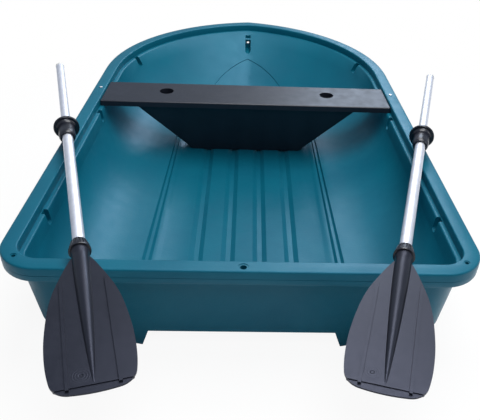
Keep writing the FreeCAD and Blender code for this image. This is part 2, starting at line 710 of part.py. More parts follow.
def blade_outline():
    """Face of the blade's plate: shoulders that swell to the widest place, then round tip corners."""
    z = -BLADE_THICK / 2
    start = THROAT_START - BLADE_ROOT_BACK
    wide = BLADE_TIP - BLADE_WIDEST_BACK
    side = [Vector(lerp(start, wide, along), BLADE_HALF * across, z) for along, across in BLADE_SIDE]
    curve = Part.BSplineCurve()
    curve.interpolate(
        Points=side, InitialTangent=Vector(1, BLADE_SHOULDER_SLOPE, 0), FinalTangent=Vector(1, 0, 0),
    )
    corner_x = BLADE_TIP - BLADE_TIP_CROWN - BLADE_TIP_R
    corner = Vector(corner_x, BLADE_HALF * BLADE_TIP_SHARE - BLADE_TIP_R, z)
    tip_angle = math.radians(BLADE_TIP_TURN)
    side_angle = math.radians(90 - 2 * BLADE_TIP_TURN)
    corner_side = on_circle(corner, BLADE_TIP_R, side_angle)
    corner_mid = on_circle(corner, BLADE_TIP_R, (tip_angle + side_angle) / 2)
    corner_tip = on_circle(corner, BLADE_TIP_R, tip_angle)
    tip = Vector(BLADE_TIP, 0, z)
    swell = Part.BSplineCurve()
    swell.interpolate(
        Points=[side[-1], corner_side], InitialTangent=Vector(1, 0, 0),
        FinalTangent=Vector(math.sin(side_angle), -math.cos(side_angle), 0),
    )

    def flip(point):
        return Vector(point.x, -point.y, point.z)

    half = [curve.toShape(), swell.toShape(), Part.Arc(corner_side, corner_mid, corner_tip).toShape()]
    other = [edge.mirror(Vector(0, 0, 0), Vector(0, 1, 0)) for edge in half]
    tip_edge = Part.Arc(corner_tip, tip, flip(corner_tip)).toShape()
    root_edge = Part.LineSegment(flip(side[0]), side[0]).toShape()
    edges = Part.sortEdges(half + [tip_edge] + other + [root_edge])[0]
    return Part.Face(Part.Wire(edges))


def blade_rib(across):
    """One long rib on both faces of the plate, which rises along a ramp at the shoulder."""
    start = SPINE_START + BLADE_RIB_START
    end = BLADE_TIP - BLADE_RIB_TIP
    half = BLADE_THICK / 2 + BLADE_RIB_HEIGHT
    side = across - BLADE_RIB_WIDTH / 2
    corners = [(start, 0), (start + BLADE_RIB_RISE, half), (end, half), (end, -half), (start + BLADE_RIB_RISE, -half)]
    points = [Vector(along, side, up) for along, up in corners]
    return Part.Face(Part.makePolygon(points + points[:1])).extrude(Vector(0, BLADE_RIB_WIDTH, 0))


def make_blade():
    """Socket, throat and tapering spine in one with a ribbed plate."""
    bore = SHAFT_R + TUBE_FIT
    spine_end = SPINE_START + SPINE_LENGTH
    socket_end = NUT_END + SOCKET_DEPTH
    dome = []
    for share in (0.0, 0.25, 0.5, 0.75, 1.0):
        radius = lerp(THROAT_R, SOCKET_R, (1 + math.cos(math.pi * share)) / 2)
        dome.append((lerp(NUT_END, THROAT_START, share), radius))
    taper = []
    for share in (0.0, 0.15, 0.3, 0.45, 0.6, 0.75, 0.9, 1.0):
        along = share * SPINE_LENGTH / (SPINE_LENGTH + SPINE_TAIL)
        radius = THROAT_R * (1 - along ** SPINE_FALL) ** SPINE_FULLNESS
        taper.append((SPINE_START + share * SPINE_LENGTH, radius))
    spine = turned([
        (NUT_END, bore), dome, taper, (spine_end + SPINE_TIP_R, 0), (socket_end, 0), (socket_end, bore),
    ])
    outline = blade_outline()
    plate = outline.extrude(Vector(0, 0, BLADE_THICK))
    cross_full = BLADE_THICK + 2 * CROSS_RIB_HEIGHT
    corner = Vector(BLADE_TIP - CROSS_RIB_BACK, -BLADE_HALF, -cross_full / 2)
    cross_rib = Part.makeBox(BLADE_RIB_WIDTH / 2, 2 * BLADE_HALF, cross_full, corner)
    room = outline.extrude(Vector(0, 0, cross_full))
    room.translate(Vector(0, 0, -CROSS_RIB_HEIGHT))
    ribs = [cross_rib.common(room), blade_rib(BLADE_RIB_OFFSET), blade_rib(-BLADE_RIB_OFFSET)]
    blade = plate.fuse(ribs + [spine])
    inside = Part.makeCylinder(bore, SOCKET_DEPTH, Vector(NUT_END, 0, 0), Vector(1, 0, 0))
    return blade.cut(inside)


def oar_placement(slope):
    """Carries a piece drawn about the rowlock to its place at rest on the starboard side."""
    pivot = rowlock_place() + Vector(0, 0, ROWLOCK_HEIGHT)
    heading = Rotation(Vector(0, 0, 1), -90 - OAR_ANGLE)
    pitch = Rotation(Vector(0, 1, 0), slope)
    return Placement(pivot, heading * pitch)


def make_nodes():
    """Every piece by its name, still measured from the transom and the rim's top."""
    nodes = {"hull": make_hull(), "thwart": make_thwart()}
    sided = {
        "rowlock": (make_rowlock(), 0.0),
        "oar_shaft": (make_shaft(), OAR_SLOPE),
        "oar_handle": (make_handle(), OAR_SLOPE),
        "oar_end_cap": (make_end_cap(), OAR_SLOPE),
        "oar_collar": (make_collar(), OAR_SLOPE),
        "oar_ring_nut": (make_nut(), OAR_SLOPE),
        "oar_blade": (make_blade(), OAR_SLOPE),
    }
    for name, (shape, slope) in sided.items():
        shape.Placement = oar_placement(slope)
        nodes[name + "_starboard"] = shape
        nodes[name + "_port"] = mirrored(shape)
    return nodes


def origin_shift(nodes):
    """From the drawing's origin to the floor under the middle of the whole thing."""
    low = min(shape.optimalBoundingBox(False, False).YMin for shape in nodes.values())
    high = max(shape.optimalBoundingBox(False, False).YMax for shape in nodes.values())
    return Vector(0, -(low + high) / 2, HULL_DEPTH)


def report(name, shape):
    """One line on a piece, to see that it is one sound solid."""
    box = shape.optimalBoundingBox(False, False)
    low = "%.1f %.1f %.1f" % (box.XMin, box.YMin, box.ZMin)
    corners = low + " to %.1f %.1f %.1f" % (box.XMax, box.YMax, box.ZMax)
    print(name, "valid", shape.isValid(), "solids", len(shape.Solids), "faces", len(shape.Faces), corners)


def main():
    os.makedirs("parts", exist_ok=True)
    nodes = make_nodes()
    shift = origin_shift(nodes)
    for name, shape in nodes.items():
        shape.translate(shift)
        report(name, shape)
        shape.exportStep(os.path.join("parts", name + ".step"))
    pivot = rowlock_place() + Vector(0, 0, ROWLOCK_HEIGHT) + shift
    print("rowlock pivot %.3f %.3f %.3f slope %.3f" % (pivot.x, pivot.y, pivot.z, OAR_SLOPE))
    print("shift %.3f %.3f %.3f" % (shift.x, shift.y, shift.z))
    corner = corner_hole_place() + shift
    print("stern corner hole %.3f %.3f" % (corner.x, corner.y))


main()
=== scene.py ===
"""Studio picture of a small moulded rowing boat with its thwart and its two oars.

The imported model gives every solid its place. This script dresses each solid in the finish of the real
thing, adds the small fastenings and moulding marks that are too fine for it, and lights and frames the
whole. Lengths are metres in the boat's frame, X to starboard, Y forward to the bow and Z up, except that
a name ending in _mm is in millimetres. Angles are degrees unless a docstring says radians.
"""

import logging
import math
from collections.abc import Callable
from dataclasses import dataclass, replace
from enum import Enum

import bmesh
import bpy
from mathutils import Matrix, Vector

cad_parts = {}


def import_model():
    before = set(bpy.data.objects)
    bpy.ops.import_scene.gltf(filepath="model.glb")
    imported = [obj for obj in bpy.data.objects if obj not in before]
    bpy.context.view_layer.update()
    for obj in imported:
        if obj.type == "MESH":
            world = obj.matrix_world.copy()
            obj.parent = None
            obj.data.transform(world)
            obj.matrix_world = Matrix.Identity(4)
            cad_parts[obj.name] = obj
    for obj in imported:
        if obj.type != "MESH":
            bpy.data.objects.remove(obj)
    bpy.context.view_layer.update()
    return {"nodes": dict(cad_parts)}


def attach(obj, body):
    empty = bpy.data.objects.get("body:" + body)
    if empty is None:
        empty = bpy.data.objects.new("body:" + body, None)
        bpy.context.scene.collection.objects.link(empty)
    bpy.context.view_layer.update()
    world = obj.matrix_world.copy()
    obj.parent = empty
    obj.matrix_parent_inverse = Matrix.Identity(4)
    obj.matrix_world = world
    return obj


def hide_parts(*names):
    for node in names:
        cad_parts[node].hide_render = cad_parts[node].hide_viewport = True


LOG = logging.getLogger("rowing_boat")
MM = 0.001
WHITE = (1.0, 1.0, 1.0, 1.0)

# A Mix node that is set to colours takes and gives them at these places.
MIX_SHARE, MIX_FIRST, MIX_SECOND, MIX_RESULT = 0, 6, 7, 2

# Nearly all readings of a noise lie between these two.
NOISE_LOW, NOISE_HIGH = 0.3, 0.7
NOISE_ROUGHNESS = 0.55

# Corners nearer than this are one, and faces that turn less than this, in degrees, are one flat face.
WELD_GAP = 0.01 * MM
FLAT_TURN = 0.5
# A turn between two faces above this is shaded as a sharp edge, on the mouldings and on the small pieces.
MOULDING_CREASE = 32.0
SMALL_CREASE = 40.0
# Where a moulding's edges are softened, those that turn more than this get a rounding of so many faces.
SOFT_TURN = 40.0
SOFT_SEGMENTS = 3
# The normal of a round piece's end face has more Z than this, and the face has more corners than this.
END_FACE_Z = 0.9
SMALL_FACE_CORNERS = 8

Point = tuple[float, float, float]


class Side(Enum):
    """The two sides of the boat, each with the sign of its X."""

    STARBOARD = 1
    PORT = -1

    @property
    def word(self) -> str:
        """The side's word in the names of pieces."""
        return self.name.lower()


class Layers(Enum):
    """How many finer layers lie on a noise, by what the noise draws."""

    WAVE = 1.0
    GRAIN = 2.0
    CLOUD = 3.0
    BLOTCH = 4.0
    SCRATCH = 6.0


def linear(hex_colour: str) -> tuple[float, float, float, float]:
    """Turns an sRGB hex colour to the linear colour that a shader socket takes.

    Args:
        hex_colour: Six hex digits, with or without a leading hash.

    Returns:
        Red, green, blue and an alpha of 1.
    """
    digits = hex_colour.lstrip("#")
    channels = []
    for start in (0, 2, 4):
        value = int(digits[start:start + 2], 16) / 255
        channels.append(value / 12.92 if value <= 0.04045 else ((value + 0.055) / 1.055) ** 2.4)
    return (*channels, 1.0)


def add_node(tree: bpy.types.NodeTree, kind: str, settings: dict | None = None,
             links: dict | None = None) -> bpy.types.Node:
    """Adds one shader node with its settings and its incoming links.

    Args:
        tree: The node tree that gets the node.
        kind: The node's type, without the leading ShaderNode.
        settings: Values by property name, or else by input name or number.
        links: Output sockets by the name or number of the input that each feeds.

    Returns:
        The new node.
    """
    node = tree.nodes.new("ShaderNode" + kind)
    for key, value in (settings or {}).items():
        if isinstance(key, str) and hasattr(node, key):
            setattr(node, key, value)
        else:
            node.inputs[key].default_value = value
    for key, socket in (links or {}).items():
        tree.links.new(socket, node.inputs[key])
    return node


def lumps(size_mm: float, layers: Layers) -> dict:
    """Works out a noise's settings from the real width of its lumps.

    Args:
        size_mm: Width of one lump.
        layers: How many finer layers lie on it.

    Returns:
        The settings.
    """
    return {"Scale": 1 / (size_mm * MM), "Detail": layers.value, "Roughness": NOISE_ROUGHNESS}


def span(low: float, high: float, start: float = NOISE_LOW, end: float = NOISE_HIGH) -> dict:
    """Gives the settings that map readings between start and end onto low to high.

    Args:
        low: Result at start.
        high: Result at end.
        start: Reading that gives low.
        end: Reading that gives high.

    Returns:
        The settings.
    """
    return {"From Min": start, "From Max": end, "To Min": low, "To Max": high}


def relief(height_mm: float, strength: float = 1.0) -> dict:
    """Gives the settings of a bump.

    Args:
        height_mm: How high it stands.
        strength: Share of the bump that shows.

    Returns:
        The settings.
    """
    return {"Strength": strength, "Distance": height_mm * MM}


def new_material(name: str) -> tuple[bpy.types.Material, bpy.types.NodeTree, bpy.types.Node]:
    """Makes an empty node material.

    Args:
        name: The material's name.

    Returns:
        The material, its node tree and its output node.
    """
    material = bpy.data.materials.new(name)
    material.use_nodes = True
    tree = material.node_tree
    tree.nodes.clear()
    return material, tree, add_node(tree, "OutputMaterial")


@dataclass(frozen=True)
class MouldedPlastic:
    """Plastic moulded against a tool: an even colour, a satin skin and the tool's fine grain.

    Attributes:
        name: The material's name.
        colour: Main colour.
        shade: Colour of the broad, faint clouds in it.
        roughness: Mean roughness of the skin.
        roughness_spread: How far it goes up and down, in blotches.
        ior: Index of refraction.
        mottle_mm: Width of a cloud.
        grain_mm: Width of the tool's grain.
        grain_height_mm: Height of that grain.
        specular: Strength of the gloss, with 0.5 for what the IOR alone gives.
        cast: Tint painted on the gloss, standing in for the blue of a sky in the reflections.
        wave_mm: Width of the slow waves that cooling leaves.
        wave_height_mm: Height of those waves, or 0 for none.
        scuff: Colour of the rub marks, or None for none.
        scuff_mm: Width of a rub mark.
        scuff_share: How far the deepest rub mark goes to that colour.
        scuff_span: Readings of the scratch noise at which a mark starts and is full.
        scuff_stretch: Width of a mark as a share of its length, which runs fore and aft.
        blotches: How many blotches of roughness are as wide as one cloud.
    """

    name: str
    colour: str
    shade: str
    roughness: float
    roughness_spread: float
    ior: float
    mottle_mm: float
    grain_mm: float
    grain_height_mm: float
    specular: float = 0.5
    cast: str = "#ffffff"
    wave_mm: float = 60.0
    wave_height_mm: float = 0.0
    scuff: str | None = None
    scuff_mm: float = 1.6
    scuff_share: float = 0.35
    scuff_span: tuple[float, float] = (0.66, 0.80)
    scuff_stretch: float = 0.08
    blotches: float = 4.0

    def make(self) -> bpy.types.Material:
        """Builds the material: clouded colour, uneven satin and a grain in the bump.

        Returns:
            The material.
        """
        material, tree, output = new_material(self.name)
        place = add_node(tree, "TexCoord").outputs["Object"]
        blotch = add_node(tree, "TexNoise", lumps(self.mottle_mm / self.blotches, Layers.BLOTCH),
                          {"Vector": place})
        smooth, rough = self.roughness - self.roughness_spread, self.roughness + self.roughness_spread
        satin = add_node(tree, "MapRange", span(smooth, rough), {"Value": blotch.outputs["Fac"]})
        colour, bump = self.add_colour(tree, place), self.add_relief(tree, place)
        colour, bump = self.add_marks(tree, place, colour, bump)
        # The gloss carries a painted cool tint, which stands in for a blue sky's colour in the
        # reflections.
        gloss = {"IOR": self.ior, "Specular IOR Level": self.specular, "Specular Tint": linear(self.cast)}
        shader = add_node(tree, "BsdfPrincipled", gloss,
                          {"Base Color": colour, "Roughness": satin.outputs["Result"],
                           "Normal": bump.outputs["Normal"]})
        tree.links.new(shader.outputs["BSDF"], output.inputs["Surface"])
        return material

    def add_colour(self, tree: bpy.types.NodeTree, place: bpy.types.NodeSocket) -> bpy.types.NodeSocket:
        """Adds the clouded colour, with rub marks where the piece has them.

        Args:
            tree: The material's nodes.
            place: Object coordinates.

        Returns:
            The colour's socket.
        """
        mottle = add_node(tree, "TexNoise", lumps(self.mottle_mm, Layers.CLOUD), {"Vector": place})
        share = add_node(tree, "MapRange", span(0.0, 1.0), {"Value": mottle.outputs["Fac"]})
        clouded = add_node(tree, "Mix", {"data_type": "RGBA", MIX_FIRST: linear(self.colour),
                                         MIX_SECOND: linear(self.shade)},
                           {MIX_SHARE: share.outputs["Result"]})
        colour = clouded.outputs[MIX_RESULT]
        if not self.scuff:
            return colour
        stretch = add_node(tree, "Mapping", {"Scale": (1.0, self.scuff_stretch, 1.0)}, {"Vector": place})
        scratch = add_node(tree, "TexNoise", lumps(self.scuff_mm, Layers.SCRATCH),
                           {"Vector": stretch.outputs["Vector"]})
        wear = add_node(tree, "MapRange", span(0.0, self.scuff_share, *self.scuff_span),
                        {"Value": scratch.outputs["Fac"]})
        worn = add_node(tree, "Mix", {"data_type": "RGBA", MIX_SECOND: linear(self.scuff)},
                        {MIX_SHARE: wear.outputs["Result"], MIX_FIRST: colour})
        return worn.outputs[MIX_RESULT]

    def add_relief(self, tree: bpy.types.NodeTree, place: bpy.types.NodeSocket) -> bpy.types.Node:
        """Adds the tool's grain, with slow waves where the piece has them.

        Args:
            tree: The material's nodes.
            place: Object coordinates.

        Returns:
            The last bump node.
        """
        fine = add_node(tree, "TexNoise", lumps(self.grain_mm, Layers.GRAIN), {"Vector": place})
        bump = add_node(tree, "Bump", relief(self.grain_height_mm), {"Height": fine.outputs["Fac"]})
        if self.wave_height_mm:
            wave = add_node(tree, "TexNoise", lumps(self.wave_mm, Layers.WAVE), {"Vector": place})
            bump = add_node(tree, "Bump", relief(self.wave_height_mm),
                            {"Height": wave.outputs["Fac"], "Normal": bump.outputs["Normal"]})
        return bump

    def add_marks(
        self, tree: bpy.types.NodeTree, place: bpy.types.NodeSocket, colour: bpy.types.NodeSocket,
        bump: bpy.types.Node,
    ) -> tuple[bpy.types.NodeSocket, bpy.types.Node]:
        """Adds what this moulding alone carries; plain plastic carries nothing.

        Args:
            tree: The material's nodes.
            place: Object coordinates.
            colour: The colour so far.
            bump: The last bump node so far.

        Returns:
            The colour's socket and the bump node.
        """
        return colour, bump


@dataclass(frozen=True)
class BladePlastic(MouldedPlastic):
    """Blade plastic with the round mark that the tool's gate leaves near the tip.

    Attributes:
        gate: The mark's middle, in X and Y.
        gate_r_mm: Radius of the dark dimple.
        gate_depth_mm: Its depth.
        gate_fade_mm: Where its rim starts and ends, from that radius.
        gate_colour: Its colour.
        ring_r_mm: Radius of the outermost faint ring.
        ring_pitch_mm: Distance from ring to ring.
        ring_height_mm: Height of the rings.
        ring_fade_mm: Where they start to fade and end, from their radius.
    """

    gate: tuple[float, float] = (0.0, 0.0)
    gate_r_mm: float = 4.0
    gate_depth_mm: float = 0.8
    gate_fade_mm: tuple[float, float] = (-1.0, 0.6)
    gate_colour: str = "#15161b"
    ring_r_mm: float = 19.0
    ring_pitch_mm: float = 5.0
    ring_height_mm: float = 0.07
    ring_fade_mm: tuple[float, float] = (-2.0, 1.0)

    def add_marks(
        self, tree: bpy.types.NodeTree, place: bpy.types.NodeSocket, colour: bpy.types.NodeSocket,
        bump: bpy.types.Node,
    ) -> tuple[bpy.types.NodeSocket, bpy.types.Node]:
        """Adds a dark dimple with faint rings round it.

        Args:
            tree: The material's nodes.
            place: Object coordinates.
            colour: The colour so far.
            bump: The last bump node so far.

        Returns:
            The colour's socket and the last bump node.
        """
        flat = {"Location": (-self.gate[0], -self.gate[1], 0.0), "Scale": (1.0, 1.0, 0.0)}
        centred = add_node(tree, "Mapping", flat, {"Vector": place})
        away = add_node(tree, "VectorMath", {"operation": "LENGTH"}, {0: centred.outputs["Vector"]})
        distance = away.outputs["Value"]
        radians_per_metre = 2 * math.pi / (self.ring_pitch_mm * MM)
        turns = add_node(tree, "Math", {"operation": "MULTIPLY", 1: radians_per_metre}, {0: distance})
        wave = add_node(tree, "Math", {"operation": "SINE"}, {0: turns.outputs["Value"]})
        full, gone = ((self.ring_r_mm + fade) * MM for fade in self.ring_fade_mm)
        inside = add_node(tree, "MapRange", span(1.0, 0.0, full, gone), {"Value": distance})
        rings = add_node(tree, "Math", {"operation": "MULTIPLY"},
                         {0: wave.outputs["Value"], 1: inside.outputs["Result"]})
        bump = add_node(tree, "Bump", relief(self.ring_height_mm),
                        {"Height": rings.outputs["Value"], "Normal": bump.outputs["Normal"]})
        full, gone = ((self.gate_r_mm + fade) * MM for fade in self.gate_fade_mm)
        dimple = add_node(tree, "MapRange", span(1.0, 0.0, full, gone), {"Value": distance})
        bump = add_node(tree, "Bump", {**relief(self.gate_depth_mm), "invert": True},
                        {"Height": dimple.outputs["Result"], "Normal": bump.outputs["Normal"]})
        dark = add_node(tree, "Mix", {"data_type": "RGBA", MIX_SECOND: linear(self.gate_colour)},
                        {MIX_SHARE: dimple.outputs["Result"], MIX_FIRST: colour})
        return dark.outputs[MIX_RESULT], bump


@dataclass(frozen=True)
class AnodisedTube:
    """Drawn aluminium tube, anodised clear: pale, satin, with fine draw lines along it.

    The lines of about 0.1 mm are drawn at 0.9 mm, so that they show.

    Attributes:
        name: The material's name.
        heading: Turn of the tube in plan from +X, in radians.
        colour: Main colour.
        shade: Colour of the faint clouds in it.
        roughness: Mean roughness.
        roughness_span: How far the lines take it down and up.
        cloud_mm: Width of a cloud.
        line_mm: Width of a draw line.
        line_height_mm: Height of a draw line.
        line_stretch: Width of a line as a share of its length.
    """

    name: str
    heading: float
    colour: str = "#eff0f5"
    shade: str = "#e2e3ea"
    roughness: float = 0.52
    roughness_span: tuple[float, float] = (-0.05, 0.07)
    cloud_mm: float = 24.0
    line_mm: float = 0.9
    line_height_mm: float = 0.012
    line_stretch: float = 0.012

    def make(self) -> bpy.types.Material:
        """Builds the material, its lines turned to run along the tube.

        Returns:
            The material.
        """
        material, tree, output = new_material(self.name)
        place = add_node(tree, "TexCoord").outputs["Object"]
        turned = add_node(tree, "Mapping", {"Rotation": (0.0, 0.0, -self.heading)}, {"Vector": place})
        drawn = add_node(tree, "Mapping", {"Scale": (self.line_stretch, 1.0, 1.0)},
                         {"Vector": turned.outputs["Vector"]})
        lines = add_node(tree, "TexNoise", lumps(self.line_mm, Layers.CLOUD),
                         {"Vector": drawn.outputs["Vector"]})
        cloud = add_node(tree, "TexNoise", lumps(self.cloud_mm, Layers.CLOUD), {"Vector": place})
        share = add_node(tree, "MapRange", span(0.0, 1.0), {"Value": cloud.outputs["Fac"]})
        colour = add_node(tree, "Mix", {"data_type": "RGBA", MIX_FIRST: linear(self.colour),
                                        MIX_SECOND: linear(self.shade)},
                          {MIX_SHARE: share.outputs["Result"]})
        smooth, rough = (self.roughness + change for change in self.roughness_span)
        satin = add_node(tree, "MapRange", span(smooth, rough), {"Value": lines.outputs["Fac"]})
        bump = add_node(tree, "Bump", relief(self.line_height_mm), {"Height": lines.outputs["Fac"]})
        shader = add_node(tree, "BsdfPrincipled", {"Metallic": 1.0},
                          {"Base Color": colour.outputs[MIX_RESULT], "Roughness": satin.outputs["Result"],
                           "Normal": bump.outputs["Normal"]})
        tree.links.new(shader.outputs["BSDF"], output.inputs["Surface"])
        return material


@dataclass(frozen=True)
class StainlessSteel:
    """Pressed stainless steel: grey, fairly bright, with a faint tumbled grain.

    The grain of about 0.2 mm is drawn at 0.6 mm, so that it shows.

    Attributes:
        name: The material's name.
        colour: Its colour.
        roughness: Mean roughness.
        roughness_span: How far the grain takes it down and up.
        grain_mm: Width of the grain.
        grain_height_mm: Height of the grain.
        grain_strength: Share of the grain that shows.
    """

    name: str = "stainless_steel_screw"
    colour: str = "#d2d4d6"
    roughness: float = 0.34
    roughness_span: tuple[float, float] = (-0.06, 0.1)
    grain_mm: float = 0.6
    grain_height_mm: float = 0.02
    grain_strength: float = 0.5

    def make(self) -> bpy.types.Material:
        """Builds the material.

        Returns:
            The material.
        """
        material, tree, output = new_material(self.name)
        place = add_node(tree, "TexCoord").outputs["Object"]
        fine = add_node(tree, "TexNoise", lumps(self.grain_mm, Layers.GRAIN), {"Vector": place})
        smooth, rough = (self.roughness + change for change in self.roughness_span)
        satin = add_node(tree, "MapRange", span(smooth, rough), {"Value": fine.outputs["Fac"]})
        bump = add_node(tree, "Bump", relief(self.grain_height_mm, self.grain_strength),
                        {"Height": fine.outputs["Fac"]})
        shader = add_node(tree, "BsdfPrincipled", {"Metallic": 1.0, "Base Color": linear(self.colour)},
                          {"Roughness": satin.outputs["Result"], "Normal": bump.outputs["Normal"]})
        tree.links.new(shader.outputs["BSDF"], output.inputs["Surface"])
        return material


# Rotomoulded polyethylene is waxy: a low gloss that spreads light wide, painted with a cool tint for the
# blue of a sky in its reflections, over the slight orange peel of the cast tool. Its grain of about 2 mm
# is drawn at 5 mm, so that it shows.
HULL_FINISH = MouldedPlastic(
    "rotomoulded_polyethylene_teal", colour="#085d71", shade="#06556a", roughness=0.40,
    roughness_spread=0.05, ior=1.51, mottle_mm=180.0, grain_mm=5.0, grain_height_mm=0.28,
    specular=0.46, cast="#98d2f6", wave_mm=70.0, wave_height_mm=0.5, scuff="#2f7f96",
)
# The thwart is the same resin with carbon black, rubbed a little shiny where people sit, so its grain of
# about 2 mm is faint.
THWART_FINISH = MouldedPlastic(
    "rotomoulded_polyethylene_black", colour="#20242e", shade="#1b1f28", roughness=0.38,
    roughness_spread=0.06, ior=1.51, mottle_mm=120.0, grain_mm=2.4, grain_height_mm=0.06,
    specular=0.36, wave_mm=50.0, wave_height_mm=0.3, scuff="#4b4c55", scuff_mm=1.2,
)
# Polypropylene from an injection tool: nearly black, with a satin sheen that takes most of its light from
# the sky, and a cool tint painted on its gloss for the sky's blue. The tool's spark-eroded grain of 1.2 mm
# is drawn at 2 mm, so that it shows.
BLADE_FINISH = BladePlastic(
    "injected_polypropylene_charcoal", colour="#1d1f26", shade="#191b21", roughness=0.36,
    roughness_spread=0.05, ior=1.49, mottle_mm=60.0, grain_mm=2.0, grain_height_mm=0.05,
    specular=0.40, cast="#c6cdf0", wave_mm=40.0, wave_height_mm=0.15, scuff="#5c5d66", scuff_mm=0.9,
)
# Glass-filled nylon: black and fairly smooth. The fibres that just print through are drawn at 1.6 mm.
NYLON_FINISH = MouldedPlastic(
    "glass_filled_nylon_black", colour="#12141d", shade="#161821", roughness=0.31,
    roughness_spread=0.04, ior=1.53, mottle_mm=30.0, grain_mm=1.6, grain_height_mm=0.06,
)
# White polyethylene plug, pressed into the tube's end: even and softly glossy. Its grain of about 0.5 mm
# is drawn at 1.5 mm, so that it shows.
CAP_FINISH = MouldedPlastic(
    "injected_polyethylene_white", colour="#e9e9e7", shade="#dddddb", roughness=0.38,
    roughness_spread=0.04, ior=1.51, mottle_mm=14.0, grain_mm=1.5, grain_height_mm=0.03,
)
SCREW_FINISH = StainlessSteel()

# Middle of the gate mark on each blade.
GATES = {Side.STARBOARD: (0.2493, -1.0580), Side.PORT: (-0.2964, -1.0737)}


def dress(piece: bpy.types.Object, material: bpy.types.Material) -> None:
    """Gives every face of a piece one material.

    Args:
        piece: The piece.
        material: Its finish.
    """
    piece.data.materials.clear()
    piece.data.materials.append(material)


def deselect_all() -> None:
    """Leaves object mode with nothing selected."""
    if bpy.context.object and bpy.context.object.mode != "OBJECT":
        bpy.ops.object.mode_set(mode="OBJECT")
    bpy.ops.object.select_all(action="DESELECT")


def own_copy(mesh: bpy.types.Mesh, name: str) -> bpy.types.Object:
    """Makes an object with its own copy of a mesh.

    Args:
        mesh: The mesh to copy.
        name: Name of the object.

    Returns:
        The object, linked to the scene.
    """
    piece = bpy.data.objects.new(name, mesh.copy())
    bpy.context.scene.collection.objects.link(piece)
    return piece


def select_faces(piece: bpy.types.Object, wanted: Callable[[bmesh.types.BMFace], bool]) -> None:
    """Selects the faces of a piece in edit mode that pass a test, and no others.

    Args:
        piece: The piece, in edit mode.
        wanted: The test that each face is put to.
    """
    bpy.ops.mesh.select_all(action="DESELECT")
    mesh = bmesh.from_edit_mesh(piece.data)
    for face in mesh.faces:
        if wanted(face):
            face.select_set(True)
    bmesh.update_edit_mesh(piece.data)


def is_end_face(face: bmesh.types.BMFace) -> bool:
    """Whether a face is the flat end of a round piece that stands on Z."""
    return abs(face.normal.z) > END_FACE_Z and len(face.verts) > SMALL_FACE_CORNERS


def add_cylinder(radius: float, height: float, middle: Point, facets: int) -> bpy.types.Object:
    """Adds an upright cylinder, selected and active, with its place in its mesh.

    Args:
        radius: Its radius.
        height: Its height.
        middle: Its middle.
        facets: How many faces it has round its side.

    Returns:
        The cylinder.
    """
    deselect_all()
    bpy.ops.mesh.primitive_cylinder_add(vertices=facets, radius=radius, depth=height,
                                        end_fill_type="NGON", location=middle)
    bpy.ops.object.transform_apply(location=True, rotation=True, scale=True)
    return bpy.context.object


def round_edges(piece: bpy.types.Object, width: float, segments: int, angle: float) -> None:
    """Bevels the sharp edges of the active piece.

    Args:
        piece: The piece.
        width: Width of the bevel.
        segments: How many faces go round it.
        angle: Turn between two faces above which their edge is bevelled.
    """
    bevel = piece.modifiers.new("rounded_edges", "BEVEL")
    bevel.width = width
    bevel.segments = segments
    bevel.limit_method = "ANGLE"
    bevel.angle_limit = math.radians(angle)
    bevel.use_clamp_overlap = True
    bpy.ops.object.modifier_apply(modifier=bevel.name)


def smooth_copy(node: bpy.types.Object, name: str, body: str, soften: float = 0.0,
                even: bool = True) -> bpy.types.Object:
    """Welds a copy of a solid and shades it smoothly, so that its curved walls show no facets.

    Args:
        node: The solid that the copy stands for.
        name: Name of the copy.
        body: The body that it rides on.
        soften: Width of the bevel on the sharp edges, or 0 to leave them.
        even: Whether large flat faces keep a flat shade beside rounded edges.

    Returns:
        The copy.
    """
    deselect_all()
    piece = own_copy(node.data, name)
    bpy.context.view_layer.objects.active = piece
    piece.select_set(True)
    bpy.ops.object.mode_set(mode="EDIT")
    bpy.ops.mesh.select_all(action="SELECT")
    bpy.ops.mesh.remove_doubles(threshold=WELD_GAP)
    bpy.ops.mesh.customdata_custom_splitnormals_clear()
    if soften:
        bpy.ops.mesh.dissolve_limited(angle_limit=math.radians(FLAT_TURN), use_dissolve_boundaries=False)
    bpy.ops.object.mode_set(mode="OBJECT")
    if soften:
        round_edges(piece, soften, SOFT_SEGMENTS, SOFT_TURN)
    bpy.ops.object.shade_smooth_by_angle(angle=math.radians(MOULDING_CREASE), keep_sharp_edges=False)
    if even:
        weights = piece.modifiers.new("even_shading", "WEIGHTED_NORMAL")
        weights.keep_sharp = True
        bpy.ops.object.modifier_apply(modifier=weights.name)
    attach(piece, body)
    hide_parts(node.name)
    return piece


@dataclass(frozen=True)
class Softbox:
    """One soft lamp.

    Attributes:
        name: The lamp's name.
        place: Where it hangs.
        target: The point that it faces.
        width: Its width.
        power: Its power in watts.
        colour: Colour of its light.
        height: Its height, or None for a square lamp.
    """

    name: str
    place: Point
    target: Point
    width: float
    power: float
    colour: str = "#ffffff"
    height: float | None = None

    def hang(self) -> None:
        """Adds the lamp to the scene."""
        data = bpy.data.lights.new(self.name, "AREA")
        data.shape = "RECTANGLE"
        data.size = self.width
        data.size_y = self.height or self.width
        data.energy = self.power
        data.color = linear(self.colour)[:3]
        lamp = bpy.data.objects.new(self.name, data)
        bpy.context.scene.collection.objects.link(lamp)
        lamp.location = self.place
        lamp.rotation_mode = "QUATERNION"
        lamp.rotation_quaternion = (Vector(self.target) - Vector(self.place)).to_track_quat("-Z", "Y")


